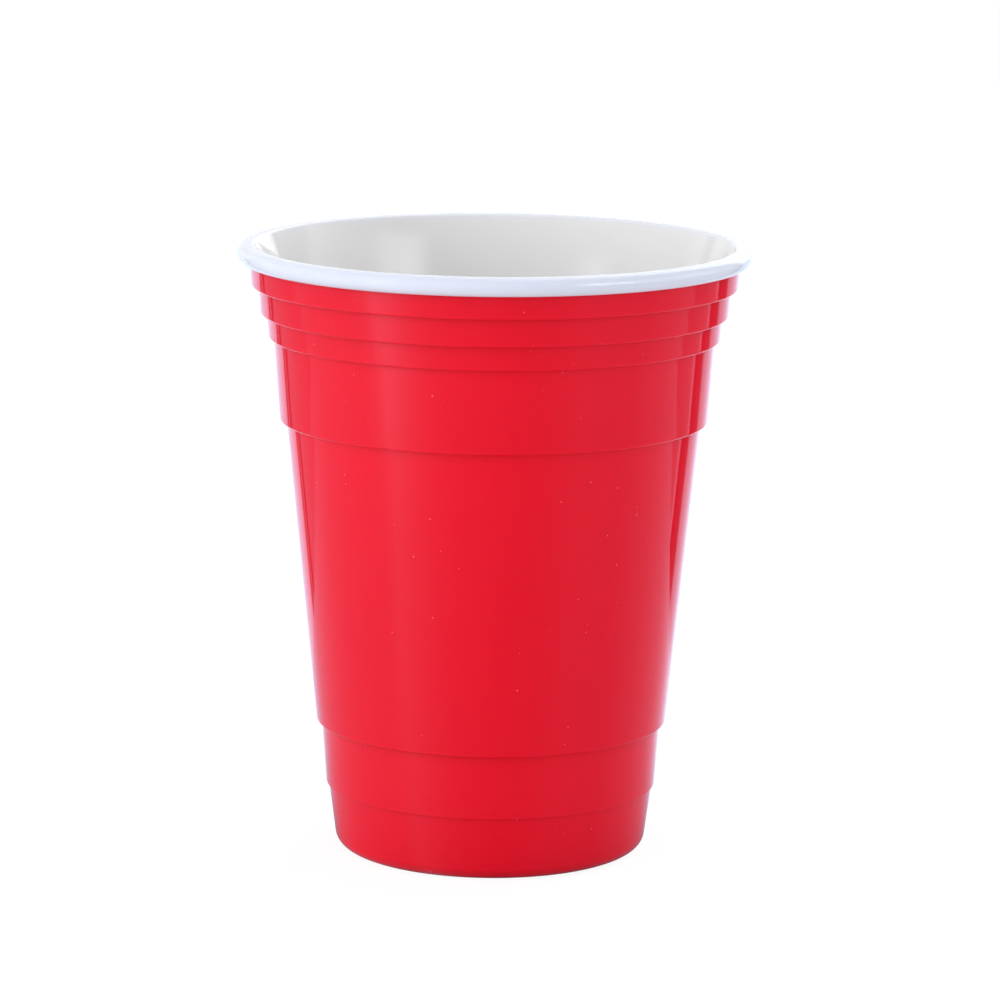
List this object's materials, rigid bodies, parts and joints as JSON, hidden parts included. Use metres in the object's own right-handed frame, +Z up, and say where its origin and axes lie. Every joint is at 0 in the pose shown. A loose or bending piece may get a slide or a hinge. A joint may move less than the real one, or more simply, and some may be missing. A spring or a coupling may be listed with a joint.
{
  "type": "plastic party cup",
  "caption": "Tapered drinking cup in two-tone moulded plastic, red outside and white inside, with stepped grip bands, a rounded lip and a recessed base.",
  "frame": {"origin": "centre of the ring that the cup stands on, at the height of the surface under it", "axes": "+Z up along the cup's axis, from the base to the open mouth; the cup is the same all round, so X and Y are free"},
  "size_m": [0.098, 0.098, 0.1172],
  "materials": {
    "cup_plastic": "smooth glossy moulded plastic, red outside, with a white inside and lip"
  },
  "bodies": {
    "root": {"cup": "cup_plastic"}
  },
  "joints": []
}
